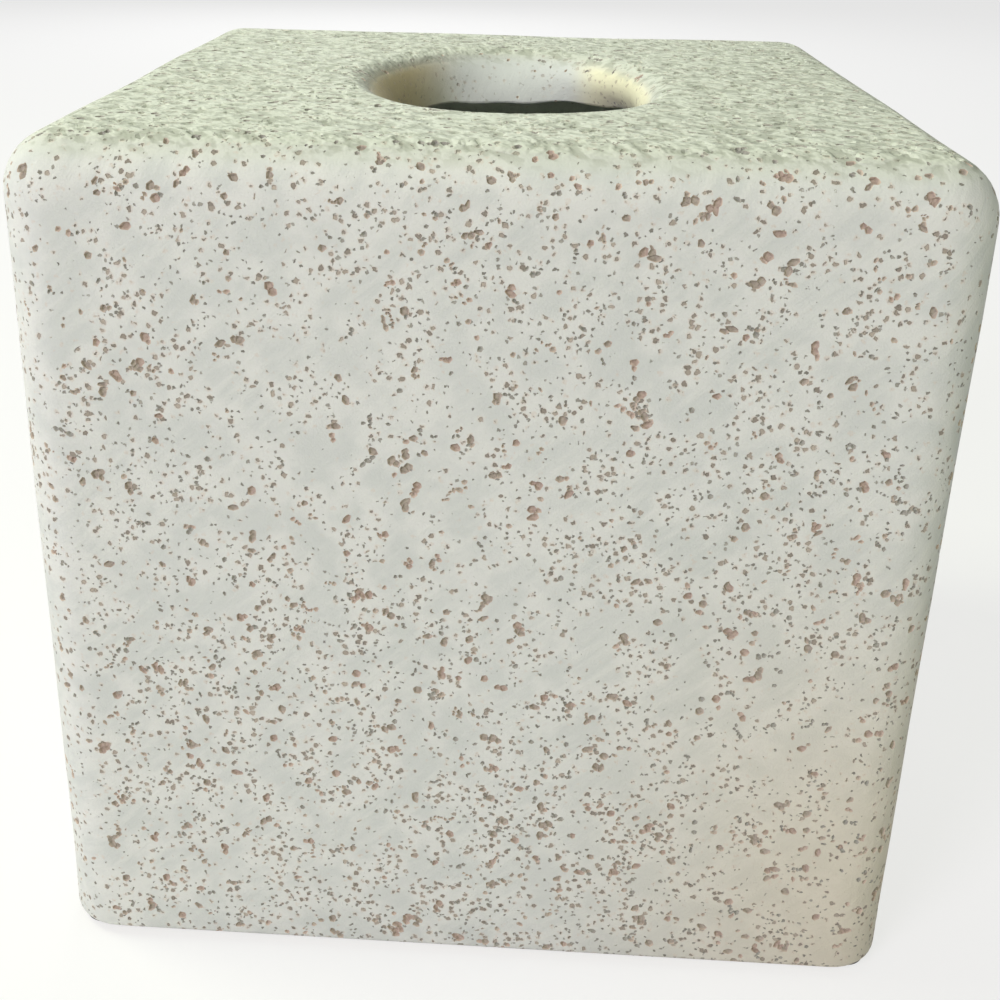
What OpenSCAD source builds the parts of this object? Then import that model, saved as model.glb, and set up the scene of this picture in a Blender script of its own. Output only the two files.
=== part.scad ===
// Square ceramic cover that stands over an upright carton of tissues.
// One cast shell, open at the foot, with an oval opening in its roof whose lip
// rolls inwards, on four stick-on pads under its corners.
// X runs left to right, Y front to back and Z up. The origin is on the surface
// that the cover stands on, under the middle of the cover.

/* [Cover shell] */
// Width of the shell, left to right
shell_w = 140; // [126:1:180]
// Depth of the shell, front to back
shell_d = 140; // [126:1:180]
// Height of the shell, from its foot rim to the flat of its roof
shell_h = 137; // [100:1:180]
// Radius of the upright corners and of the edge round the roof
edge_r = 9.2; // [6:0.2:12]
// Thickness of the four walls
wall_t = 6.5; // [6:0.5:9]
// Thickness of the roof, away from the lip
roof_t = 6.5; // [5:0.5:9]
// Radius of the corners and edges inside the shell
inner_edge_r = 8; // [6:0.5:11]

/* [Opening] */
// Width of the opening at its narrowest, left to right
throat_w = 45; // [34:1:50]
// Length of the opening at its narrowest, front to back
throat_d = 66; // [62:1:76]
// Radius with which the roof rolls down into the opening
lip_r = 7.5; // [4:0.5:7.5]
// Depth of the rolled lip, from the flat of the roof to its lower edge
lip_depth = 10.5; // [10:0.5:16]
// Thickness of the turned-down part of the lip
lip_t = 6; // [5:0.5:8]
// Radius of the lower edge of the lip, on the side of the throat
lip_edge_r = 0.8; // [0.5:0.1:2.2]

/* [Foot pads] */
// Diameter of a pad
pad_dia = 7; // [5:0.5:7.5]
// Thickness of a pad, which is the gap under the foot rim
pad_t = 1.2; // [0.8:0.1:3]
// Radius of the worn lower edge of a pad
pad_edge_r = 0.4; // [0.2:0.05:0.6]

/* [Hidden] */
// Length by which a cut runs past what it cuts
overrun = 2;
$fn = 96;

rim_z = pad_t;
roof_z = rim_z + shell_h;

// The oval is four arcs that meet smoothly: one at each end and one each side. The
// centre of an end arc, that of a side arc and the middle of the oval are the corners
// of a triangle with sides of 3, 4 and 5 parts, which keeps every size of it exact.
throat_half_w = throat_w / 2;
throat_half_d = throat_d / 2;
arc_part = (throat_half_d - throat_half_w) / 2;
end_y = 3 * arc_part;
side_x = 4 * arc_part;
end_r = throat_half_d - end_y;
side_r = throat_half_w + side_x;

// The wedges that part the arcs reach past the whole shell
wedge_part = (shell_w + shell_d) / 4;
wedge_x = 4 * wedge_part;
wedge_y = end_y + 3 * wedge_part;

// The pads sit on the diagonal, in the middle of the rim's corner
outer_corner_x = shell_w / 2 - edge_r * (1 - sqrt(0.5));
outer_corner_y = shell_d / 2 - edge_r * (1 - sqrt(0.5));
inner_corner_x = shell_w / 2 - wall_t - inner_edge_r * (1 - sqrt(0.5));
inner_corner_y = shell_d / 2 - wall_t - inner_edge_r * (1 - sqrt(0.5));
pad_x = (outer_corner_x + inner_corner_x) / 2;
pad_y = (outer_corner_y + inner_corner_y) / 2;

coat_white = [0.85, 0.85, 0.82];
pad_grey = [0.30, 0.29, 0.28];

// Upright section of a box whose two upper corners are round
module round_topped(w, h, r) {
    translate([-w / 2, 0]) square([w, h - r]);
    translate([r - w / 2, 0]) square([w - 2 * r, h]);
    for (side = [-1, 1]) translate([side * (w / 2 - r), h - r]) circle(r);
}

// Box that stands on z = 0, round at its upright corners and upper edges
module round_box(w, d, h, r) {
    translate([0, d / 2 - r, 0]) rotate([90, 0, 0])
        linear_extrude(d - 2 * r) round_topped(w, h, r);
    translate([r - w / 2, 0, 0]) rotate([90, 0, 90])
        linear_extrude(w - 2 * r) round_topped(d, h, r);
    for (x = [-1, 1], y = [-1, 1])
        translate([x * (w / 2 - r), y * (d / 2 - r), 0]) {
            cylinder(h = h - r, r = r);
            translate([0, 0, h - r]) sphere(r);
        }
}

// Wedges beside the middle of the oval, where its outline follows the side arcs
module side_wedges(tall) {
    linear_extrude(tall, center = true)
        polygon([[0, end_y], [wedge_x, wedge_y], [wedge_x, -wedge_y],
                 [0, -end_y], [-wedge_x, -wedge_y], [-wedge_x, wedge_y]]);
}

// Solid whose outline is the oval at every height. Its child draws half of the
// upright section, from the axis out to $arc_r, the radius of the arc being turned.
module turned_oval() {
    for (side = [-1, 1])
        translate([0, side * end_y, 0]) rotate_extrude() {
            $arc_r = end_r;
            children();
        }
    intersection() {
        for_side(1) children();
        for_side(-1) children();
        side_wedges(2 * (lip_depth + 2 * overrun));
    }
}

// Solid turned about the centre of one of the two side arcs
module for_side(side) {
    translate([side * side_x, 0, 0]) rotate_extrude() {
        $arc_r = side_r;
        children();
    }
}

// Half section of the turned-down lip, filled in as far as its axis
module lip_section() {
    translate([0, -lip_depth]) square([$arc_r + lip_t, lip_depth - roof_t / 2]);
}

// Half section of the air in the opening: wide over the roll, straight in the
// throat, and wider again round the lower edge of the lip
module air_section() {
    translate([0, -lip_depth - overrun]) square([$arc_r, lip_depth + 2 * overrun]);
    difference() {
        translate([0, -lip_r]) square([$arc_r + lip_r, lip_r + overrun]);
        translate([$arc_r + lip_r, -lip_r]) circle(lip_r);
    }
    difference() {
        translate([0, -lip_depth - overrun])
            square([$arc_r + lip_edge_r, lip_edge_r + overrun]);
        translate([$arc_r + lip_edge_r, lip_edge_r - lip_depth]) circle(lip_edge_r);
    }
}

module cover_shell() {
    color(coat_white) difference() {
        union() {
            difference() {
                translate([0, 0, rim_z])
                    round_box(shell_w, shell_d, shell_h, edge_r);
                translate([0, 0, rim_z - overrun])
                    round_box(shell_w - 2 * wall_t, shell_d - 2 * wall_t,
                              shell_h - roof_t + overrun, inner_edge_r);
            }
            translate([0, 0, roof_z]) turned_oval() lip_section();
        }
        translate([0, 0, roof_z]) turned_oval() air_section();
    }
}

// Half of the upright section of a pad, round at its lower edge
module pad_section() {
    square([pad_dia / 2 - pad_edge_r, pad_t]);
    translate([0, pad_edge_r]) square([pad_dia / 2, pad_t - pad_edge_r]);
    translate([pad_dia / 2 - pad_edge_r, pad_edge_r]) circle(pad_edge_r);
}

// Round pad stuck under the rim, at the corner on the given sides
module foot_pad(x_side, y_side) {
    color(pad_grey) translate([x_side * pad_x, y_side * pad_y, 0])
        rotate_extrude() pad_section();
}

cover_shell();
foot_pad(-1, -1);  // foot_pad_front_left
foot_pad(1, -1);  // foot_pad_front_right
foot_pad(-1, 1);  // foot_pad_back_left
foot_pad(1, 1);  // foot_pad_back_right
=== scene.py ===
import bisect
import math
import random

import bmesh
import bpy
from mathutils import Matrix, Vector, noise


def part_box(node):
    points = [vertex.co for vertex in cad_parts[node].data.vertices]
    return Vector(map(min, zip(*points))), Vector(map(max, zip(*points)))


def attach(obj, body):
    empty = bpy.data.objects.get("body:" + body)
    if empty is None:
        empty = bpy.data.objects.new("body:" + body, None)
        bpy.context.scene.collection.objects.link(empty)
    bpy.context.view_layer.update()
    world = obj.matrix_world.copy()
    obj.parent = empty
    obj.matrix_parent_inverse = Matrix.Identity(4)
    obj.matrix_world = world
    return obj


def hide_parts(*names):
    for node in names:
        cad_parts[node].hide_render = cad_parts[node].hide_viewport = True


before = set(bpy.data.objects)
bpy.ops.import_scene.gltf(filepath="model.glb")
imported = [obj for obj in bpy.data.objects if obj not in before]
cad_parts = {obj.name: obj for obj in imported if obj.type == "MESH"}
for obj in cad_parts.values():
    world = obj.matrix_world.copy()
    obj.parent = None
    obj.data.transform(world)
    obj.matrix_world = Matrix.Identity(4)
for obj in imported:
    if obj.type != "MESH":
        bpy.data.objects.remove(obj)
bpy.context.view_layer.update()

# A square ceramic cover for an upright carton of tissues. It is one cast shell with a
# chalky coat, thousands of small pits that show the clay, and four rubber foot pads.
# Everything is in metres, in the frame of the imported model.

MM = 0.001

# Shell
EDGE_R = 9.2 * MM            # upright corners and the edge round the roof
INNER_EDGE_R = 8 * MM        # corners and edges inside
WALL_T = 6.5 * MM
ROOF_T = 6.5 * MM
FOOT_OUTER_R = 1.1 * MM      # worn edge of the foot rim, outside
FOOT_INNER_R = 0.7 * MM      # and inside
EDGE_STEPS = 10              # flats in a rounded edge of the shell, outside
INNER_STEPS = 6              # and inside
SMALL_STEPS = 4              # flats in the small rounded edges
SHELL_SHARP = math.radians(24)   # angle from which an edge of the shell looks sharp
GRID_STEP = 11.5 * MM        # spacing of the lines that let the walls be uneven
UNEVEN = 0.3 * MM            # most that the outside lies in from a true surface
UNEVEN_STEP = 34 * MM        # distance between the swells
UNEVEN_FROM_RIM = 5 * MM     # height above the foot rim at which they are at their full size

# Opening
THROAT_HALF_W = 22.5 * MM
THROAT_HALF_D = 33 * MM
LIP_R = 7.5 * MM
LIP_DEPTH = 10.5 * MM
LIP_T = 6 * MM
LIP_EDGE_R = 0.8 * MM
LIP_COVE_R = 2.5 * MM        # where the back of the lip meets the ceiling
OVAL_STEPS = 22              # flats in each of the oval's four arcs
ROLL_STEPS = 9
BLOCK_FLANGE = 1.25          # width of the block's upper flange, in widths of the lip
AIR_FLANGES = 1.2, 1.6       # widths of the air's lower and upper flange, in widths of the throat

# How the real opening differs from its true form
LIP_UNEVEN = 0.5 * MM        # between the swells and the hollows in the wall of the opening
LIP_UNEVEN_STEP = 9 * MM
LIP_WAVE = 0.9 * MM          # between the lowest and the highest part of the lip's lower edge
LIP_WAVE_STEP = 7 * MM
LIP_WAVE_LEVEL = 0.4         # share of the wave that lies below the true edge
LIP_WAVE_PARTS = 3           # the wave is on the lowest of this many parts of the lip
# How far the lip's lower edge lies from its true place, all round and in two corners
LIP_LEAN = Vector((2.6, -2.6, 0.15)) * MM
LIP_BACK_RIGHT = Vector((3, 1, 0.8)) * MM
LIP_BACK_LEFT = Vector((-3.5, 0.75, 0)) * MM
LEAN_CURVE = 1.5             # power of the depth with which the lip comes to lean
# And how far the whole rim of the opening lies from it, all round and in one corner
OPENING_SHIFT = Vector((1.2, -1.3, 0)) * MM
OPENING_FRONT_RIGHT = Vector((3.5, -0.9, 0)) * MM
OPENING_FADE = 9 * MM        # width of the roof over which that shift dies away
SHIFT_ABOVE = 0.6            # share of that shift that the roof has, where the lower edge has it all

# Foot pads
PAD_EDGE_R = 0.4 * MM
PAD_FILM_T = 0.15 * MM       # adhesive film between a pad and the rim
PAD_FILM_IN = 0.25 * MM      # how far the film stays in from the pad's edge
PAD_DISH_IN = 1.1 * MM       # distance of the dish underneath from the pad's edge
PAD_DISH_DEPTH = 0.18 * MM
PAD_SIDES = 48
PAD_SHARP = math.radians(35)     # angle from which an edge of a pad looks sharp

SLOTS = COAT, INSIDE, CLAY_TAN, CLAY_PINK, CLAY_GREY = range(5)

# Pits
PIT_COUNT = 8700
LEAST_PIT = 0.35 * MM        # radius
PIT_SPREAD = 0.17 * MM       # mean of what a pit has beyond the least radius
LARGEST_PIT = 0.71 * MM
PIT_STRETCH = 0.3            # mean of what a pit's length has beyond its width, as a share
PIT_STRETCH_MOST = 0.9
PIT_DEPTH = 0.2 * MM         # depth of a pit of no width
PIT_DEPTH_SHARE = 0.38       # and what a wider one has beyond it, as a share of its radius
PIT_DEPTH_MOST = 0.55 * MM
# By size: the radius up to which a kind is used, the sides of its mouth, the sides and
# the radius of its floor, and the clays that it may show
PIT_KINDS = (
    (0.42 * MM, 5, 1, 0.2, (CLAY_GREY, CLAY_GREY, CLAY_TAN)),
    (0.52 * MM, 6, 1, 0.2, (CLAY_GREY, CLAY_TAN, CLAY_PINK)),
    (0.66 * MM, 5, 3, 0.6, (CLAY_TAN, CLAY_TAN, CLAY_PINK)),
    (LARGEST_PIT, 6, 4, 0.7, (CLAY_TAN, CLAY_PINK)),
)
PIT_FORMS = 8                # different forms of each kind
# Pits on the roof get grey clay in place of brown: painted shade and painted green light of the roof
GREY_PAINTED_ROOF_LEVEL = 0.9               # how straight up a place has to face for its pits to be grey

# How pits run on from one to the next: the chance of one more, how far its way turns in
# radians, and the least and greatest distance from the last, in the sum of both radii
CHAIN = (0.34, 0.8, 0.55, 1.25)
CLUSTER = (0.42, 1.8, 0.5, 0.85)
CLUSTER_FROM = 0.52 * MM     # radius from which a pit starts a cluster, not a chain
NEXT_SIZE = 0.65, 1.0        # size of the next pit, as a share of the last
NEXT_LEAST = 0.85            # and the least it may be, as a share of the least pit

# How thick the pits lie, where 1 is the most
CROWD_THROAT = 0.22
CROWD_ROOF = 0.34
CROWD_ROOF_EDGE = 0.85
CROWD_LOST = 0.45            # what the walls lose of it from their lower part to the upper
LOWER_PART = 0.3             # height of the lower part, as a share of the shell's height
FADING_PART = 0.5            # height of the part above it, over which the pits get fewer
FLAT_ROOF = 0.5 * MM         # depth below the roof's height down to which it counts as flat
DRIFTS = ((24 * MM, 0.5), (8 * MM, 0.7), (3.5 * MM, 0.6))    # sizes of the drifts, and weights
DRIFT_LEAST = 0.12           # what a drift leaves of that thickness at least,
DRIFT_MIDDLE = 0.5           # what it leaves halfway,
DRIFT_REACH = 0.8            # and how far it swings it

# Soft dents in the roof's coat
DENT_COUNT = 1150
DENT_R = 0.75 * MM, 1.15 * MM
DENT_DEPTH = 0.42 * MM
DENT_FORM = 6, 1, 0.2        # sides of its mouth, sides of its floor and radius of its floor
DENT_STRETCH = 1.0, 1.2
DENT_WAY = -0.6, 0.3         # mean and spread of the way it is drawn out, in radians
DENT_LEVEL = 0.93            # how straight up a place has to face to have dents

CLEARANCE = 1.35             # free space round a pit in one round of cutting, in its own radii
CUT_CELL = 4 * MM            # more than the clearances of any two pits or dents come to

CELL_SPAN = 144 * MM         # what one of the nine cells of the shell's map is wide
STRIP_START = 1.08           # where the two strips of that map start, in cells
STRIP_LENGTH = 1.84
LIP_STRIP_ROW = 2.4          # row of the strip for the back of the lip
THROAT_STRIP_ROW = 2.8       # and of the one for the wall of the opening

OVERRUN = 2 * MM
HAIR = 0.004 * MM            # keeps two surfaces from lying in one plane
SAME_PLACE = 1e-6            # closer than this, two points are one
SAME_PLANE = 1e-7            # and a point is in a plane

shell_low, shell_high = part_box("cover_shell")
RIM_Z = shell_low.z
ROOF_Z = shell_high.z
HALF_W = shell_high.x
HALF_D = shell_high.y
TOP = ROOF_Z / MM
MIDDLE = Vector((0, 0, (RIM_Z + ROOF_Z) / 2))

draw = random.Random(11)


def show(name, mesh, slot, node, *materials):
    """Shows a finished mesh in the place of a CAD node, with its materials in order."""
    mesh.name = name
    for place, material in enumerate(materials):
        if place < len(mesh.materials):
            mesh.materials[place] = material
        else:
            mesh.materials.append(material)
    piece = bpy.data.objects.new(name, mesh)
    bpy.context.scene.collection.objects.link(piece)
    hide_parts(node)
    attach(piece, "root")


def to_mesh(bm, name):
    mesh = bpy.data.meshes.new(name)
    bm.to_mesh(mesh)
    bm.free()
    return mesh


def round_edges(bm, edges, radius, steps):
    bmesh.ops.bevel(
        bm, geom=list(edges), offset=radius, offset_type="OFFSET", segments=steps,
        profile=0.5, affect="EDGES", clamp_overlap=False, material=-1)


def round_box(bm, low, high, radius, steps):
    """A box, open at its foot, whose upright and upper edges are round."""
    made = bmesh.ops.create_cube(bm, size=1)["verts"]
    bmesh.ops.scale(bm, vec=high - low, verts=made)
    bmesh.ops.translate(bm, vec=(low + high) / 2, verts=made)
    foot = [f for f in {f for v in made for f in v.link_faces} if f.normal.z < -0.5]
    bmesh.ops.delete(bm, geom=foot, context="FACES_ONLY")
    edges = {e for v in made for e in v.link_edges if not e.is_boundary}
    round_edges(bm, edges, radius, steps)


def round_rim(bm):
    """Rounds the two edges of the foot rim."""
    outside, inside = [], []
    for edge in bm.edges:
        if all(abs(v.co.z - RIM_Z) < SAME_PLACE for v in edge.verts):
            walls = [f for f in edge.link_faces if abs(f.normal.z) < 0.5]
            if len(walls) == 1:
                (inside if walls[0].material_index == INSIDE else outside).append(edge)
    round_edges(bm, outside, FOOT_OUTER_R, SMALL_STEPS)
    round_edges(bm, inside, FOOT_INNER_R, SMALL_STEPS)


def cut_grid(bm):
    """Cuts lines through the shell, a little over a centimetre apart."""
    for axis, first, last in (((1, 0, 0), -HALF_W, HALF_W), ((0, 1, 0), -HALF_D, HALF_D),
                              ((0, 0, 1), RIM_Z, ROOF_Z)):
        lines = round((last - first) / GRID_STEP)
        for line in range(1, lines):
            place = Vector(axis) * (first + (last - first) * line / lines)
            bmesh.ops.bisect_plane(
                bm, geom=bm.verts[:] + bm.edges[:] + bm.faces[:], dist=SAME_PLANE,
                plane_co=place, plane_no=axis)


def closed_shell():
    """Outer and inner surfaces, joined round the foot rim, with no opening in the roof yet."""
    bm = bmesh.new()
    round_box(bm, Vector((-HALF_W, -HALF_D, RIM_Z)), Vector((HALF_W, HALF_D, ROOF_Z)),
              EDGE_R, EDGE_STEPS)
    outer = set(bm.faces)
    inner_w, inner_d = HALF_W - WALL_T, HALF_D - WALL_T
    round_box(bm, Vector((-inner_w, -inner_d, RIM_Z)),
              Vector((inner_w, inner_d, ROOF_Z - ROOF_T)), INNER_EDGE_R, INNER_STEPS)
    inner = [f for f in bm.faces if f not in outer]
    bmesh.ops.reverse_faces(bm, faces=inner)
    rim = bmesh.ops.bridge_loops(bm, edges=[e for e in bm.edges if e.is_boundary])["faces"]
    for face in inner + rim:
        face.material_index = INSIDE
    round_rim(bm)
    cut_grid(bm)
    return to_mesh(bm, "shell")


def oval(bm, grow, z):
    """One flat face with the outline of the opening, made wider all round by grow."""
    end_r, end_y, side_r, side_x = oval_arcs()
    join = math.atan2(end_y, side_x)
    start = (-side_x + (side_r + grow) * math.cos(join), -(side_r + grow) * math.sin(join), z)
    last = bmesh.ops.create_vert(bm, co=start)["vert"]
    for centre, angle in (((-side_x, 0, z), 2 * join), ((0, end_y, z), math.pi - 2 * join),
                          ((side_x, 0, z), 2 * join), ((0, -end_y, z), math.pi - 2 * join)):
        turned = bmesh.ops.spin(
            bm, geom=last, cent=centre, axis=(0, 0, 1), angle=angle, steps=OVAL_STEPS)
        last = [g for g in turned["geom_last"] if isinstance(g, bmesh.types.BMVert)]
    bmesh.ops.remove_doubles(bm, verts=bm.verts, dist=SAME_PLACE)
    return bmesh.ops.contextual_create(bm, geom=bm.edges[:])["faces"][0]


def pushed(bm, face, up=0.0, wider=1.0):
    """Extrudes a flat face upwards, or outwards in its own plane, and gives the new one."""
    made = bmesh.ops.extrude_face_region(bm, geom=[face, *face.edges, *face.verts])["geom"]
    verts = [g for g in made if isinstance(g, bmesh.types.BMVert)]
    bmesh.ops.translate(bm, vec=(0, 0, up), verts=verts)
    bmesh.ops.scale(bm, vec=(wider, wider, 1), verts=verts)
    return [g for g in made if isinstance(g, bmesh.types.BMFace)][0]


def finished_tool(bm, name, slot):
    bmesh.ops.recalc_face_normals(bm, faces=bm.faces)
    for face in bm.faces:
        face.material_index = slot
    return to_mesh(bm, name)


def lip_block():
    """The turned-down lip, filled in, with a cove where it meets the ceiling."""
    bm = bmesh.new()
    face = oval(bm, LIP_T, ROOF_Z - LIP_DEPTH)
    lower = list(face.edges)
    face = pushed(bm, face, up=LIP_DEPTH - ROOF_T + HAIR)
    cove = list(face.edges)
    face = pushed(bm, face, wider=BLOCK_FLANGE)
    pushed(bm, face, up=ROOF_T / 2)
    round_edges(bm, lower, LIP_EDGE_R, SMALL_STEPS)
    round_edges(bm, cove, LIP_COVE_R, SMALL_STEPS)
    return finished_tool(bm, "lip_block", INSIDE)


def opening_air():
    """The air in the opening: a reel, whose two flanges meet its stem in round coves."""
    below, above = AIR_FLANGES
    bm = bmesh.new()
    face = oval(bm, 0, ROOF_Z - LIP_DEPTH - HAIR - OVERRUN)
    bmesh.ops.scale(bm, vec=(below, below, 1), verts=face.verts)
    face = pushed(bm, face, up=OVERRUN)
    face = pushed(bm, face, wider=1 / below)
    lower = list(face.edges)
    face = pushed(bm, face, up=LIP_DEPTH + 2 * HAIR)
    upper = list(face.edges)
    face = pushed(bm, face, wider=above)
    pushed(bm, face, up=OVERRUN)
    round_edges(bm, lower, LIP_EDGE_R, SMALL_STEPS)
    round_edges(bm, upper, LIP_R, ROLL_STEPS)
    return finished_tool(bm, "opening_air", COAT)


def in_order(mesh):
    """The same mesh with its faces in the order of their corners, because a cut gives them
    in another order in each run, and the pits are drawn by that order."""
    faces = []
    for face in mesh.polygons:
        corners = list(face.vertices)
        first = corners.index(min(corners))
        faces.append((corners[first:] + corners[:first], face.material_index))
    faces.sort()
    ordered = bpy.data.meshes.new("ordered")
    ordered.from_pydata([v.co for v in mesh.vertices], [], [corners for corners, _ in faces])
    ordered.polygons.foreach_set("material_index", [slot for _, slot in faces])
    bpy.data.meshes.remove(mesh)
    return with_slots(ordered)


def combined(mesh, tool, operation):
    """The mesh with the tool's solid added or taken away."""
    scene = bpy.context.scene.collection
    body = bpy.data.objects.new("work", mesh)
    other = bpy.data.objects.new("tool", tool)
    scene.objects.link(body)
    scene.objects.link(other)
    modifier = body.modifiers.new("cut", "BOOLEAN")
    modifier.operation = operation
    modifier.object = other
    modifier.solver = "MANIFOLD"
    modifier.material_mode = "INDEX"
    result = bpy.data.meshes.new_from_object(
        body.evaluated_get(bpy.context.evaluated_depsgraph_get()))
    for used, data in ((body, mesh), (other, tool)):
        bpy.data.objects.remove(used)
        bpy.data.meshes.remove(data)
    return in_order(result)


def swell(place, size, seed):
    """Smooth noise from 0 to 1 with the given distance between its swells."""
    steepness = 1.6
    level = noise.noise(place / size + Vector((seed, seed, seed)))
    return 0.5 + 0.5 * max(-1, min(1, steepness * level))


def oval_arcs():
    """The oval's four arcs: the radius of those at the ends and how far up their middles
    lie, then the radius of those at the sides and how far out theirs lie. The middles and
    that of the oval are the corners of a triangle with sides of 3, 4 and 5 parts."""
    part = (THROAT_HALF_D - THROAT_HALF_W) / 2
    return THROAT_HALF_D - 3 * part, 3 * part, THROAT_HALF_W + 4 * part, 4 * part


def from_throat(place):
    """How far out a place is, seen from above, from the narrowest outline of the opening."""
    end_r, end_y, side_r, side_x = oval_arcs()
    x, y = abs(place.x), abs(place.y)
    if (y - end_y) * side_x > x * end_y:
        return math.hypot(x, y - end_y) - end_r
    return math.hypot(x + side_x, y) - side_r


def lip_shift(place):
    """How far a place round the opening lies from where the true form has it."""
    down = min(1, max(0, (ROOF_Z - place.z) / LIP_DEPTH))
    near = min(1, max(0, 1 - (from_throat(place) - LIP_R) / OPENING_FADE))
    right, back = Vector((place.x / THROAT_HALF_W, place.y / THROAT_HALF_D)).normalized()
    edge = (LIP_LEAN + LIP_BACK_RIGHT * 2 * max(0, right) * max(0, back)
            + LIP_BACK_LEFT * 2 * max(0, -right) * max(0, back))
    rim = OPENING_SHIFT + OPENING_FRONT_RIGHT * 2 * max(0, right) * max(0, -back)
    shift = (edge * down**LEAN_CURVE + rim * (SHIFT_ABOVE + (1 - SHIFT_ABOVE) * down)) * near
    worn = swell(place, LIP_WAVE_STEP, seed=5) - LIP_WAVE_LEVEL
    shift.z += LIP_WAVE * max(0, 1 - LIP_WAVE_PARTS * (1 - down)) * worn
    return shift


def make_uneven(mesh):
    """Moves the surface in by a little, as a hand-finished casting has it."""
    normals = [v.vector.copy() for v in mesh.vertex_normals]
    for vert, normal in zip(mesh.vertices, normals):
        z = vert.co.z
        from_rim = min(1, (z - RIM_Z) / UNEVEN_FROM_RIM)
        inward = UNEVEN * from_rim * swell(vert.co, UNEVEN_STEP, seed=3)
        shift = Vector()
        if from_throat(vert.co) < LIP_R + OPENING_FADE:
            deep = min(1, max(0, (ROOF_Z - z) / LIP_R))
            inward *= 1 - deep
            inward += LIP_UNEVEN * deep * (swell(vert.co, LIP_UNEVEN_STEP, seed=7) - 0.5)
            shift = lip_shift(vert.co)
        vert.co += shift - normal * inward


def with_slots(mesh):
    """The mesh with its empty material slots, so that the cuts keep each face's slot."""
    for _ in SLOTS:
        mesh.materials.append(None)
    return mesh


def pit_form(mouth_sides, floor_sides, floor_r):
    """A solid to cut one pit with: its floor is at z = -1, and at z = 0 its radius is about 1."""
    above, rough, radius_at_skin = 0.6, 0.18, 1.06
    bm = bmesh.new()
    mouth_r = floor_r + (radius_at_skin - floor_r) * (1 + above)
    for sides, radius, z, turn in ((mouth_sides, mouth_r, above, 0.5), (floor_sides, floor_r, -1, 0)):
        for side in range(sides):
            angle = (side + turn + rough * draw.uniform(-1, 1)) / sides * math.tau
            reach = radius * (1 + rough * draw.uniform(-1, 1))
            bmesh.ops.create_vert(bm, co=(reach * math.cos(angle), reach * math.sin(angle), z))
    bmesh.ops.convex_hull(bm, input=bm.verts)
    bmesh.ops.recalc_face_normals(bm, faces=bm.faces)
    return to_mesh(bm, "pit_form")


class Skin:
    """The coated faces of the shell, to place pits on."""

    def __init__(self, mesh):
        mesh.calc_loop_triangles()
        self.mesh = mesh
        self.normals = [v.vector.copy() for v in mesh.vertex_normals]
        self.tris = [t for t in mesh.loop_triangles if t.material_index == COAT]
        self.reach, total = [], 0.0
        for tri in self.tris:
            total += tri.area
            self.reach.append(total)
        self.area = total

    def spot(self):
        """A place and its normal, drawn evenly over the area."""
        tri = self.tris[bisect.bisect(self.reach, draw.random() * self.area)]
        s, t = math.sqrt(draw.random()), draw.random()
        shares = (1 - s, s * (1 - t), s * t)
        corners = [self.mesh.vertices[i].co for i in tri.vertices]
        place = sum((c * share for c, share in zip(corners, shares)), Vector())
        normal = sum((self.normals[i] * share for i, share in zip(tri.vertices, shares)), Vector())
        return place, normal.normalized()


def in_throat(place):
    """Whether a place on the coat is on the wall of the opening, below the roll."""
    return (abs(place.x) < THROAT_HALF_W + LIP_R and abs(place.y) < THROAT_HALF_D + LIP_R
            and place.z < ROOF_Z - LIP_R * (1 - math.sqrt(0.5)))


def crowding(place):
    """From 0 to 1, how likely a pit is here: thicker low on the walls, and in drifts."""
    height = (place.z - RIM_Z) / (ROOF_Z - RIM_Z)
    share = 1 - CROWD_LOST * min(1, max(0, height - LOWER_PART) / FADING_PART)
    if in_throat(place):
        share = CROWD_THROAT
    elif place.z > ROOF_Z - FLAT_ROOF:
        share = CROWD_ROOF
    elif place.z > ROOF_Z - EDGE_R:
        share = CROWD_ROOF_EDGE
    drift = sum(weight * noise.noise(place / size) for size, weight in DRIFTS)
    return share * min(1, max(DRIFT_LEAST, DRIFT_MIDDLE + DRIFT_REACH * drift))


def placed_pits(skin):
    """Where each pit lies: place, normal, radius and clay. Some run on in chains and clusters."""
    pits = []
    while len(pits) < PIT_COUNT:
        place, normal = skin.spot()
        if draw.random() > crowding(place):
            continue
        radius = min(LARGEST_PIT, LEAST_PIT + draw.expovariate(1 / PIT_SPREAD))
        if in_throat(place):
            radius = LEAST_PIT
        clay = draw.choice(PIT_KINDS[kind_of(radius)][4])
        # painted grey for the roof's pits, standing for their shade under the roof's green light
        if normal.z > GREY_PAINTED_ROOF_LEVEL:
            clay = CLAY_GREY
        pits.append((place, normal, radius, clay))
        way = normal.orthogonal().normalized()
        way.rotate(Matrix.Rotation(draw.uniform(0, math.tau), 3, normal))
        chance, turn, nearest, farthest = CLUSTER if radius > CLUSTER_FROM else CHAIN
        while draw.random() < chance and len(pits) < PIT_COUNT:
            way.rotate(Matrix.Rotation(draw.gauss(0, turn), 3, normal))
            last_radius = radius
            radius = max(NEXT_LEAST * LEAST_PIT, radius * draw.uniform(*NEXT_SIZE))
            place = place + way * (last_radius + radius) * draw.uniform(nearest, farthest)
            pits.append((place, normal, radius, clay))
    return pits


def placed_dents(skin):
    """Where each dent of the roof lies: place, normal and radius."""
    dents = []
    while len(dents) < DENT_COUNT:
        place, normal = skin.spot()
        if normal.z > DENT_LEVEL:
            dents.append((place, normal, draw.uniform(*DENT_R)))
    return dents


def kind_of(radius):
    return min(k for k, row in enumerate(PIT_KINDS) if radius <= row[0])


def cutter_matrix(place, normal, radius, depth, drawn_out, angle):
    """Puts a form at its place, turned by an angle and drawn out one way."""
    turn = normal.to_track_quat("Z", "Y").to_matrix() @ Matrix.Rotation(angle, 3, "Z")
    scale = Matrix.Diagonal((radius * drawn_out, radius / drawn_out, depth))
    return Matrix.Translation(place) @ (turn @ scale).to_4x4()


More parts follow.
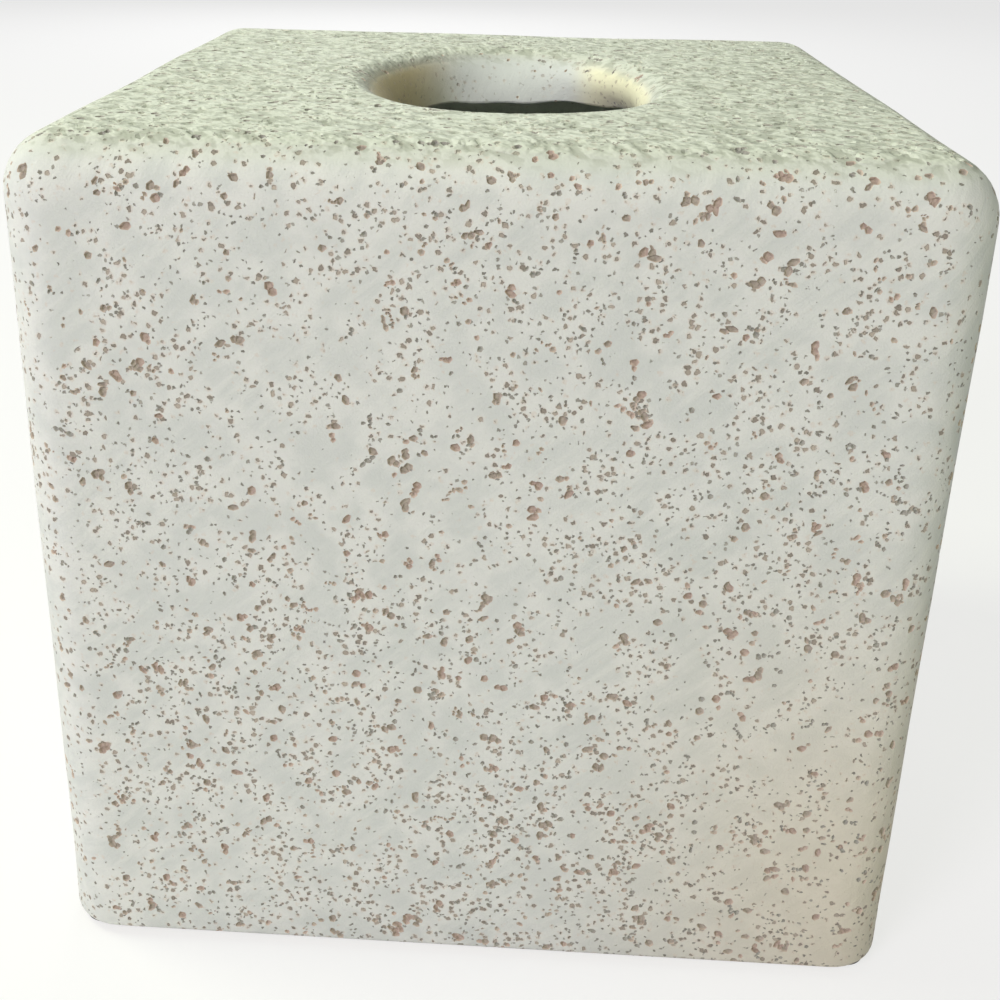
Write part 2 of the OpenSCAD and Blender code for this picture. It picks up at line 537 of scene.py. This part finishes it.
def free_turn(cells, place, reach):
    """The first round of cutting in which a pit here comes near no other pit."""
    key = [math.floor(c / CUT_CELL) for c in place]
    taken = set()
    for dx in (-1, 0, 1):
        for dy in (-1, 0, 1):
            for dz in (-1, 0, 1):
                for other, far, turn in cells.get((key[0] + dx, key[1] + dy, key[2] + dz), ()):
                    if (other - place).length < far + reach:
                        taken.add(turn)
    turn = min(n for n in range(len(taken) + 1) if n not in taken)
    cells.setdefault(tuple(key), []).append((place, reach, turn))
    return turn


def cut_pits(mesh):
    """Cuts the dents and the pits, in rounds so that no two of one round touch."""
    skin = Skin(mesh)
    forms = [[pit_form(*kind[1:4]) for _ in range(PIT_FORMS)] for kind in PIT_KINDS]
    dent_forms = [pit_form(*DENT_FORM) for _ in range(PIT_FORMS)]
    rounds, cells = [], {}

    def add(form, matrix, place, reach, slot):
        turn = free_turn(cells, place, reach * CLEARANCE)
        if turn == len(rounds):
            rounds.append(bmesh.new())
        bm = rounds[turn]
        first = len(bm.faces)
        copy = form.copy()
        copy.transform(matrix)
        bm.from_mesh(copy)
        bpy.data.meshes.remove(copy)
        bm.faces.ensure_lookup_table()
        for face in bm.faces[first:]:
            face.material_index = slot

    for place, normal, radius in placed_dents(skin):
        drawn_out = draw.uniform(*DENT_STRETCH)
        angle = draw.gauss(*DENT_WAY)
        matrix = cutter_matrix(place, normal, radius, DENT_DEPTH, drawn_out, angle)
        add(draw.choice(dent_forms), matrix, place, radius * drawn_out, COAT)
    for place, normal, radius, clay in placed_pits(skin):
        drawn_out = math.sqrt(1 + min(PIT_STRETCH_MOST, draw.expovariate(1 / PIT_STRETCH)))
        depth = min(PIT_DEPTH_MOST, PIT_DEPTH + PIT_DEPTH_SHARE * radius)
        matrix = cutter_matrix(place, normal, radius, depth, drawn_out, draw.uniform(0, math.tau))
        add(draw.choice(forms[kind_of(radius)]), matrix, place, radius * drawn_out, clay)
    cutters = with_slots(to_mesh(rounds[0], "pits"))
    for bm in rounds[1:]:
        cutters = combined(cutters, with_slots(to_mesh(bm, "pits")), "UNION")
    return combined(mesh, cutters, "DIFFERENCE")


def mark_mouths(mesh):
    """Marks the coated points, so that the clay in a pit can pale towards its mouth."""
    mouth = mesh.attributes.new("mouth", "FLOAT", "POINT")
    for face in mesh.polygons:
        if face.material_index == COAT:
            for corner in face.vertices:
                mouth.data[corner].value = 1


def flat_cell(column, row, across, up, scale=1.0):
    """Maps points to a cell of the shell's map, as they are seen square on."""
    def at(place):
        from_middle = place - MIDDLE
        return ((column + 0.5 + scale * from_middle.dot(across) / CELL_SPAN) / 3,
                (row + 0.5 + scale * from_middle.dot(up) / CELL_SPAN) / 3)
    return at


def strip(row, centre):
    """Maps points round the opening to a strip two cells long, by their angle."""
    def turn(place):
        return math.atan2(place.y / THROAT_HALF_D, place.x / THROAT_HALF_W) / math.tau

    middle = turn(centre)

    def at(place):
        near = (turn(place) - middle + 0.5) % 1 + middle
        return ((STRIP_START + STRIP_LENGTH * near) / 3,
                (row + 2 * (place.z - ROOF_Z) / CELL_SPAN) / 3)
    return at


def cell_of(centre, normal, slot):
    """The cell of the map for a face: five outer sides, then what is seen from below,
    then the four inner walls at half size, and the two strips of the opening."""
    up = Vector((0, 0, 1))
    walls = [Vector((0, -1, 0)), Vector((1, 0, 0)), Vector((0, 1, 0)), Vector((-1, 0, 0))]
    wall = max(range(4), key=lambda n: centre.dot(walls[n]))
    across = up.cross(walls[wall])
    near_opening = abs(centre.x) < HALF_W / 2 + LIP_COVE_R and abs(centre.y) < HALF_D * 0.75
    if slot == INSIDE:
        if normal.z < -0.5:
            return flat_cell(2, 1, walls[1], walls[2])
        if near_opening:
            return strip(LIP_STRIP_ROW, centre)
        return flat_cell(wall % 2 / 2 - 0.25, 2 + wall // 2 / 2 - 0.25, across, up, 0.5)
    if in_throat(centre):
        return strip(THROAT_STRIP_ROW, centre)
    if ROOF_Z - centre.z < HALF_W - centre.dot(walls[wall]):
        return flat_cell(1, 1, walls[1], walls[2])
    return flat_cell(wall % 3, wall // 3, across, up)


def lay_out(mesh):
    """Gives the shell a map of its own, for textures made from its finishes."""
    layer = mesh.uv_layers.new(name="OFBake")
    for face in mesh.polygons:
        at = cell_of(face.center, face.normal, face.material_index)
        for corner in face.loop_indices:
            layer.uv[corner].vector = at(mesh.vertices[mesh.loops[corner].vertex_index].co)


def cover_shell(*materials):
    mesh = with_slots(closed_shell())
    mesh = combined(mesh, with_slots(lip_block()), "UNION")
    mesh = combined(mesh, with_slots(opening_air()), "DIFFERENCE")
    make_uneven(mesh)
    mesh = cut_pits(mesh)
    mark_mouths(mesh)
    lay_out(mesh)
    mesh.shade_smooth()
    mesh.set_sharp_from_angle(angle=SHELL_SHARP)
    show("pitted_shell", mesh, "pitted_ceramic", "cover_shell", *materials)


def foot_pad(node, *materials):
    """A stick-on pad: a rubber disc, dished underneath, on a thinner adhesive film."""
    low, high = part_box(node)
    radius = (high.x - low.x) / 2
    bm = bmesh.new()
    bmesh.ops.create_circle(bm, cap_ends=True, radius=radius, segments=PAD_SIDES)
    sole = next(iter(bm.faces))
    tread = list(sole.edges)
    face = pushed(bm, sole, up=high.z - low.z - PAD_FILM_T)
    face = pushed(bm, face, wider=1 - PAD_FILM_IN / radius)
    film = pushed(bm, face, up=PAD_FILM_T)
    for side in {f for e in film.edges for f in e.link_faces}:
        side.material_index = 1
    bmesh.ops.recalc_face_normals(bm, faces=bm.faces)
    bmesh.ops.inset_region(bm, faces=[sole], thickness=PAD_DISH_IN, depth=0, use_even_offset=True)
    bmesh.ops.inset_region(bm, faces=[sole], thickness=PAD_DISH_DEPTH, depth=-PAD_DISH_DEPTH,
                           use_even_offset=True)
    round_edges(bm, tread, PAD_EDGE_R, SMALL_STEPS)
    bmesh.ops.translate(bm, vec=((low.x + high.x) / 2, (low.y + high.y) / 2, low.z), verts=bm.verts)
    mesh = to_mesh(bm, node)
    mesh.shade_smooth()
    mesh.set_sharp_from_angle(angle=PAD_SHARP)
    show(node.replace("foot", "rubber"), mesh, "pad_rubber", node, *materials)


def srgb(*levels):
    """A colour given from 0 to 255 as a screen shows it, as the shader needs it."""
    shares = [level / 255 for level in levels]
    return tuple(s / 12.92 if s <= 0.04045 else ((s + 0.055) / 1.055)**2.4 for s in shares) + (1,)


class Value:
    """A socket of a material. Sums and products on it add their Math nodes."""

    def __init__(self, finish, socket):
        self.finish, self.socket = finish, socket

    def __add__(self, other):
        return self.finish.maths("ADD", self, other)

    def __sub__(self, other):
        return self.finish.maths("SUBTRACT", self, other)

    def __rsub__(self, other):
        return self.finish.maths("SUBTRACT", other, self)

    def __mul__(self, other):
        return self.finish.maths("MULTIPLY", self, other)

    def __lt__(self, other):
        return self.finish.maths("LESS_THAN", self, other)

    __radd__, __rmul__ = __add__, __mul__


class Finish:
    """The nodes of a material or of the world, and the calls that add to them."""

    def __init__(self, owner):
        owner.use_nodes = True
        self.owner, self.tree = owner, owner.node_tree

    def node(self, kind, settings=None, sockets=None, output=0):
        """Adds a node: its settings first, then what its sockets hold."""
        made = self.tree.nodes.new(kind)
        for name, value in (settings or {}).items():
            setattr(made, name, value)
        for name, value in (sockets or {}).items():
            self.feed(made.inputs[name], value)
        return Value(self, made.outputs[output])

    def feed(self, socket, value):
        if isinstance(value, Value):
            self.tree.links.new(value.socket, socket)
        else:
            socket.default_value = value

    def maths(self, operation, first, second):
        return self.node("ShaderNodeMath", {"operation": operation}, {0: first, 1: second})

    def place(self, stretch=(1, 1, 1), turn=(0, 0, 0)):
        """Where a point is on the object, in millimetres, for a pattern stretched along turned axes."""
        own = self.node("ShaderNodeTexCoord", output="Object")
        return self.node("ShaderNodeMapping", {"vector_type": "TEXTURE"}, {
            "Vector": own, "Scale": [s * MM for s in stretch], "Rotation": turn})

    def split(self, place):
        return (self.node("ShaderNodeSeparateXYZ", {}, {0: place}, axis) for axis in "XYZ")

    def round_walls(self, stretch, turn):
        """A point's place for a pattern that runs round the four walls as if they were one."""
        x, y, z = self.split(self.place())
        flat = self.node("ShaderNodeCombineXYZ", {}, {0: x + y, 1: (x - y) * 0.15, 2: z})
        return self.node("ShaderNodeMapping", {"vector_type": "TEXTURE"}, {
            "Vector": flat, "Scale": stretch, "Rotation": turn})

    def height(self):
        """How high a point is on the object, in millimetres."""
        return self.node("ShaderNodeSeparateXYZ", {}, {0: self.place()}, "Z")

    def noise(self, place, size, detail=2.0, rough=0.5):
        """Soft noise from 0 to 1, whose patches are about as wide as size, in millimetres."""
        return self.node("ShaderNodeTexNoise", {"noise_dimensions": "3D"}, {
            "Vector": place, "Scale": 1 / size, "Detail": detail, "Roughness": rough})

    def bent(self, place, size, reach):
        """The place, moved about by up to half of reach, so that round shapes turn ragged."""
        drift = self.node("ShaderNodeTexNoise", {"noise_dimensions": "3D"}, {
            "Vector": place, "Scale": 1 / size, "Detail": 1.0}, "Color")
        moved = self.node("ShaderNodeVectorMath", {"operation": "SCALE"}, {0: drift, "Scale": reach})
        return self.node("ShaderNodeVectorMath", {"operation": "ADD"}, {0: place, 1: moved})

    def ramp(self, value, low, high, to_low=0.0, to_high=1.0):
        """The value's way from low to high, eased at both ends."""
        return self.node("ShaderNodeMapRange", {"interpolation_type": "SMOOTHSTEP"}, {
            "Value": value, "From Min": low, "From Max": high, "To Min": to_low, "To Max": to_high})

    def mix(self, share, first, second, blend="MIX"):
        """A colour between two others."""
        return self.node("ShaderNodeMix", {"data_type": "RGBA", "blend_type": blend},
                         {0: share, 6: first, 7: second}, output=2)

    def bump(self, height, depth, normal=None):
        """A relief whose height of 0 to 1 stands for depth, in metres."""
        sockets = {"Height": height, "Distance": depth, "Strength": 1.0}
        if normal is not None:
            sockets["Normal"] = normal
        return self.node("ShaderNodeBump", {}, sockets)

    def finished(self, colour, roughness, normal=None):
        shader = self.tree.nodes["Principled BSDF"]
        self.feed(shader.inputs["Base Color"], colour)
        self.feed(shader.inputs["Roughness"], roughness)
        if normal is not None:
            self.feed(shader.inputs["Normal"], normal)
        return self.owner

    def seen(self):
        """1 where the camera looks, straight or by way of a gloss or a glass, and 0 elsewhere."""
        rays = [self.node("ShaderNodeLightPath", output=name)
                for name in ("Is Camera Ray", "Is Glossy Ray", "Is Transmission Ray")]
        return self.maths("MINIMUM", rays[0] + rays[1] + rays[2], 1)


def material(name):
    return Finish(bpy.data.materials.new(name))


def specks(f, place, cell, least, most, share):
    """Marks too small to cut, at most one to a cell of the given width, with radii from
    least to most, all in millimetres. The share of the cells that have one drifts about
    the given share. The answer says how much of a point they cover, how near it lies to
    the edge of one, outside it, and a tone for each. All three are from 0 to 1."""
    cells = {"Vector": place, "Scale": 1 / cell, "Randomness": 1.0}
    distance = f.node("ShaderNodeTexVoronoi", {"feature": "F1"}, cells, "Distance") * cell
    drawn = f.node("ShaderNodeTexVoronoi", {"feature": "F1"}, cells, "Color")
    red, green, blue = (f.node("ShaderNodeSeparateColor", {}, {0: drawn}, part)
                        for part in ("Red", "Green", "Blue"))
    radius = red * (most - least) + least
    crowd = f.ramp(f.noise(f.place(), 7), 0.33, 0.67, 0.35 * share, 1.65 * share)
    shown = green < crowd
    cover = f.ramp(distance - radius, -0.06, 0.05, 1.0, 0.0) * shown
    near = f.ramp(distance - radius, 0.0, 0.3, 1.0, 0.0) * shown
    return cover, near, blue


def throat_reach(f, place):
    """The square of a point's distance from the middle of the opening, seen from above,
    where 1 is on the outline of the throat."""
    x, y, _ = f.split(place)
    across, along = x * (MM / THROAT_HALF_W), y * (MM / THROAT_HALF_D)
    return across * across + along * along


def near_roof(f, depth):
    """1 on the roof, and less down its edges, as far as 0 at the given depth."""
    return f.ramp(f.height(), TOP - depth, TOP - 0.4)


def coat_painted_light(f, place, colour):
    """Painted light and shade over a colour of the coat: painted greener light on the roof,
    painted pale light on the wall of the opening, with a painted highlight at its right end and
    painted warm shade at its left end, and a painted warm reflection low on the right."""
    x, _, z = f.split(place)
    throat = f.ramp(throat_reach(f, place), 1.6, 1.25) * f.ramp(z, TOP - 0.6, TOP - 3.0)
    # where the painted warm reflection from the floor falls, low on the right
    painted_bounce_low_right = f.ramp(x, 5, 68) * f.ramp(z, 95, 15)
    # painted greener light on the roof
    colour = f.mix(near_roof(f, 4.0) * 0.8, colour, srgb(205, 211, 199))
    # painted pale bluish light on the wall of the opening
    colour = f.mix(throat * 0.8, colour, srgb(208, 213, 215))
    # painted creamy highlight on the right end of the opening
    colour = f.mix(throat * f.ramp(x, 12, 19), colour, srgb(236, 234, 207))
    # painted warm shade on the left end of the opening
    colour = f.mix(throat * f.ramp(x, -8, -20), colour, srgb(186, 174, 141))
    # painted warm reflection low on the right
    return f.mix(painted_bounce_low_right * 0.6, colour, srgb(208, 196, 174))


def coat_finish():
    """Matt, chalky off-white, with specks, a fine grain and faint marks of the brush, under painted
    light and shade on the roof, in the opening and low on the right.
    """
    f = material("chalky_coat")
    place = f.place()
    outside = f.ramp(throat_reach(f, place), 1.2, 1.7, 0.4, 1.0)

    # Broad and small clouds, and strokes of the brush that come and go
    mottle = f.noise(place, 26, detail=4, rough=0.55)
    cloudy = f.noise(place, 7, detail=3, rough=0.5)
    brushed = f.noise(f.round_walls((9, 1, 1), (0, -0.72, 0)), 1.3, detail=3, rough=0.55)
    swept = f.ramp(f.noise(place, 15), 0.35, 0.6, 0.25, 1.0)
    colour = f.mix(mottle, srgb(195, 200, 199), srgb(207, 210, 210))
    colour = f.mix(f.ramp(cloudy, 0.38, 0.62), colour, srgb(214, 216, 215))
    colour = f.mix(f.ramp(brushed, 0.35, 0.75) * swept * 0.6, colour, srgb(218, 220, 218))
    # painted light and shade over the coat: roof, opening and low right corner
    colour = coat_painted_light(f, place, colour)

    # Small pits painted dark grey, partly their clay and partly painted shade, middling ones with a
    # stain round them, and pale grit, most near the foot
    ragged = f.bent(place, 0.55, 0.75)
    small, _, small_tone = specks(f, ragged, 0.85, 0.15, 0.29, 0.24)
    middling, stain, middling_tone = specks(f, ragged, 1.25, 0.27, 0.42, 0.34)
    grit, _, _ = specks(f, ragged, 2.6, 0.16, 0.34, 0.10)
    small, middling = small * outside, middling * outside
    grit = grit * f.ramp(f.height(), 4, 30, 1.0, 0.25)
    # the roof and the top of its edge: for the roof's relief, and for painted green light and shade on
    # its pits
    crust = near_roof(f, 2.2)
    warm = f.mix(middling_tone, srgb(136, 129, 121), srgb(178, 168, 158))
    colour = f.mix(stain * outside * 0.45, colour, srgb(206, 190, 178))
    colour = f.mix(grit, colour, srgb(228, 229, 227))
    # small pits: dark grey, partly the clay and partly painted shade in the pit
    colour = f.mix(small, colour, f.mix(small_tone, srgb(124, 122, 116), srgb(164, 162, 156)))
    # on the roof the middling pits take a painted greenish grey, standing for the roof's green light
    # and their shade
    colour = f.mix(middling, colour, f.mix(crust, warm, srgb(160, 162, 150)))

    # The lumpy skin of the roof, with painted shade in its hollows
    lumps = f.noise(f.place(stretch=(1.4, 1, 1), turn=(0, 0, -0.6)), 2.1, detail=2, rough=0.5)
    painted_hollow_shade = f.ramp(lumps, 0.52, 0.40) * near_roof(f, 4.0)
    # painted shade: darker greenish grey in the hollows of the roof's lumps
    colour = f.mix(painted_hollow_shade * 0.6, colour, srgb(152, 157, 144))

    normal = f.bump(brushed * swept, 0.13 * MM)
    normal = f.bump(lumps * crust, 1.3 * MM, normal)
    normal = f.bump(f.noise(place, 0.35), 0.05 * MM, normal)
    normal = f.bump(grit - small * 0.6 - middling, 0.16 * MM, normal)
    return f.finished(colour, f.ramp(mottle, 0.2, 0.8, 0.72, 0.86), normal)


def clay_finish(name, dark, light, fringe):
    """Bare fired clay in the pits, paler towards the mouth by the share called fringe."""
    f = material(name)
    place = f.place()
    grain = f.noise(place, 0.5, detail=3)
    mouth = f.node("ShaderNodeAttribute", {"attribute_name": "mouth"}, output="Fac")
    colour = f.mix(f.ramp(grain, 0.3, 0.7), dark, light)
    colour = f.mix(f.ramp(mouth, 0.35, 1.0) * fringe, colour, srgb(208, 191, 178))
    return f.finished(colour, 0.85, f.bump(grain, 0.05 * MM))


def inside_finish():
    """A thin wash of the coat over the clay inside the shell, and the bare foot rim."""
    f = material("washed_clay_inside")
    place = f.place()
    cloudy = f.noise(place, 18, detail=5, rough=0.6)
    grain = f.noise(place, 0.7, detail=3)
    bare = f.ramp(f.height(), RIM_Z / MM + 0.6, RIM_Z / MM + 2.5, 1.0, 0.0)
    colour = f.mix(f.ramp(cloudy, 0.3, 0.7), srgb(213, 218, 212), srgb(224, 228, 221))
    colour = f.mix(bare, colour, f.mix(grain, srgb(168, 148, 130), srgb(192, 172, 154)))
    colour = f.mix(f.ramp(grain, 0.62, 0.72) * 0.5, colour, srgb(150, 136, 122))
    return f.finished(colour, 0.9, f.bump(grain, 0.12 * MM, f.bump(cloudy, 0.5 * MM)))


def rubber_finish():
    """Dark grey rubber, dusty where it has been handled."""
    f = material("pad_rubber")
    place = f.place()
    dust = f.ramp(f.noise(place, 1.6, detail=4, rough=0.65), 0.45, 0.75)
    grain = f.noise(place, 0.12)
    colour = f.mix(dust, srgb(66, 65, 63), srgb(98, 96, 92))
    return f.finished(colour, f.ramp(dust, 0.0, 1.0, 0.55, 0.8), f.bump(grain, 0.02 * MM))


def film_finish():
    """Milky adhesive film."""
    f = material("adhesive_film")
    cloudy = f.noise(f.place(), 0.8, detail=3)
    return f.finished(f.mix(cloudy, srgb(176, 172, 160), srgb(204, 200, 190)), 0.5)


def add_camera():
    """The photograph's camera, fitted to the outline of the cover and of its opening."""
    focal_px, centre_px = 1291.7, (455.9, 371.8)
    frame_px, sensor = 1000, 36
    yaw, pitch, roll = 0.049, 0.370, -0.021
    place = (4.1 * MM, -239.9 * MM, 172.6 * MM)
    data = bpy.data.cameras.new("camera")
    data.sensor_width = sensor
    data.lens = focal_px / frame_px * sensor
    data.shift_x = 0.5 - centre_px[0] / frame_px
    data.shift_y = centre_px[1] / frame_px - 0.5
    data.clip_start = 0.01
    camera = bpy.data.objects.new("camera", data)
    turn = Matrix.Rotation(yaw, 4, "Z") @ Matrix.Rotation(math.pi / 2 - pitch, 4, "X")
    camera.matrix_world = Matrix.Translation(place) @ turn @ Matrix.Rotation(-roll, 4, "Z")
    bpy.context.scene.collection.objects.link(camera)
    bpy.context.scene.camera = camera


def add_lamp(name, place, target, size, watts, colour):
    """A round lamp that shines from its place towards its target."""
    data = bpy.data.lights.new(name, "AREA")
    data.shape = "DISK"
    data.size = size
    data.energy = watts
    data.color = colour
    lamp = bpy.data.objects.new(name, data)
    lamp.location = place
    lamp.rotation_euler = (Vector(target) - Vector(place)).to_track_quat("-Z", "Y").to_euler()
    bpy.context.scene.collection.objects.link(lamp)


def add_floor():
    """A white floor. The camera sees it lifted towards white, with the shadow still on it."""
    half_size, lift = 6, 0.7
    f = material("floor")
    f.finished(srgb(240, 240, 240), 0.9)
    shader = Value(f, f.tree.nodes["Principled BSDF"].outputs[0])
    white = f.node("ShaderNodeEmission", {}, {"Strength": 1.0})
    lifted = f.node("ShaderNodeMixShader", {}, {0: f.seen() * lift, 1: shader, 2: white})
    f.feed(f.tree.nodes["Material Output"].inputs["Surface"], lifted)
    bm = bmesh.new()
    bmesh.ops.create_grid(bm, x_segments=1, y_segments=1, size=half_size)
    mesh = to_mesh(bm, "floor")
    mesh.materials.append(f.owner)
    floor = bpy.data.objects.new("floor", mesh)
    bpy.context.scene.collection.objects.link(floor)


def add_world(ambient):
    """Even light from all round, with plain white where the camera looks past the floor."""
    backdrop = (0.96, 0.96, 0.96, 1)
    world = bpy.data.worlds.new("world")
    f = Finish(world)
    f.feed(f.tree.nodes["Background"].inputs["Color"], f.mix(f.seen(), ambient, backdrop))
    bpy.context.scene.world = world


add_camera()
cover_shell(
    coat_finish(), inside_finish(),
    clay_finish("tan_clay", srgb(158, 149, 140), srgb(180, 171, 162), 0.8),
    clay_finish("pink_clay", srgb(166, 149, 140), srgb(187, 171, 162), 0.8),
    clay_finish("grey_clay", srgb(143, 143, 138), srgb(166, 165, 160), 0.15))
rubber, film = rubber_finish(), film_finish()
for side in ("front_left", "front_right", "back_left", "back_right"):
    foot_pad("foot_pad_" + side, rubber, film)
add_floor()
add_world((0.22, 0.22, 0.215, 1))
add_lamp("key", (-0.68, -0.9, 0.7), (0, 0, 0.07), 0.45, 6.8, (0.94, 0.84, 1))
add_lamp("roof_light", (-0.6, 0.1, 0.8), (0, 0, 0.13), 0.4, 4.9, (0.94, 1, 0.74))
add_lamp("front_light", (0, -0.8, 0.85), (0, 0, 0.1), 0.5, 2.7, (0.93, 1, 0.55))
add_lamp("back_fill", (-0.2, 1.4, 0.6), (0, 0, 0.07), 0.6, 4.5, (1, 1, 1))
bpy.context.scene.view_settings.view_transform = "Standard"
